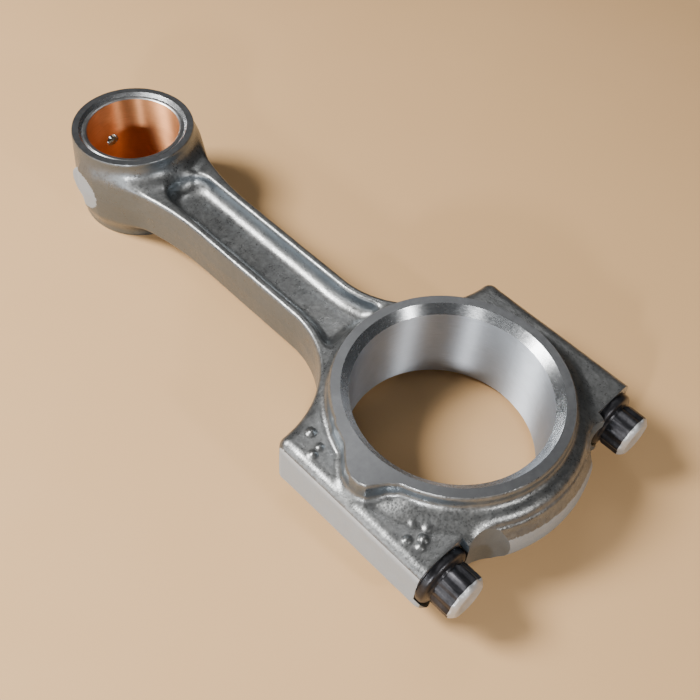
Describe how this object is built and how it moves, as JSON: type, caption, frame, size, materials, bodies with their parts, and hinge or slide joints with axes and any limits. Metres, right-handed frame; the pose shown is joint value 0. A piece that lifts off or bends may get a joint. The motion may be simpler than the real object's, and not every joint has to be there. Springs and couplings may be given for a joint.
{
  "type": "connecting rod",
  "caption": "Forged connecting rod with an I-section shank, a bolted bearing cap at the split big end and a bronze bush in the small end.",
  "frame": {"origin": "centre of the big-end bore at mid-thickness", "axes": "+Z along the two bores, +Y along the shank from the big end to the small end, +X across the two cap screws; the cap meets the rod on the plane y = 0"},
  "size_m": [0.0876, 0.2054, 0.0314],
  "materials": {
    "forged_steel": "shot-blasted forging skin, with machined bore and faces",
    "forged_steel_cap": "shot-blasted forging skin, with machined bore and faces",
    "bronze": "bored, satin",
    "black_oxide": "black oxide, oiled"
  },
  "bodies": {
    "rod": {"rod_body": "forged_steel", "small_end_bush": "bronze"},
    "cap": {"bearing_cap": "forged_steel_cap"},
    "screw_left": {"cap_screw_left": "black_oxide"},
    "screw_right": {"cap_screw_right": "black_oxide"}
  },
  "joints": [
    {"name": "cap_lift", "type": "slide", "parent": "rod", "child": "cap", "axis": [0, -1, 0], "range_m": [0, 0.06]},
    {"name": "screw_left_out", "type": "slide", "parent": "cap", "child": "screw_left", "axis": [0, -1, 0], "range_m": [0, 0.055]},
    {"name": "screw_right_out", "type": "slide", "parent": "cap", "child": "screw_right", "axis": [0, -1, 0], "range_m": [0, 0.055]}
  ]
}
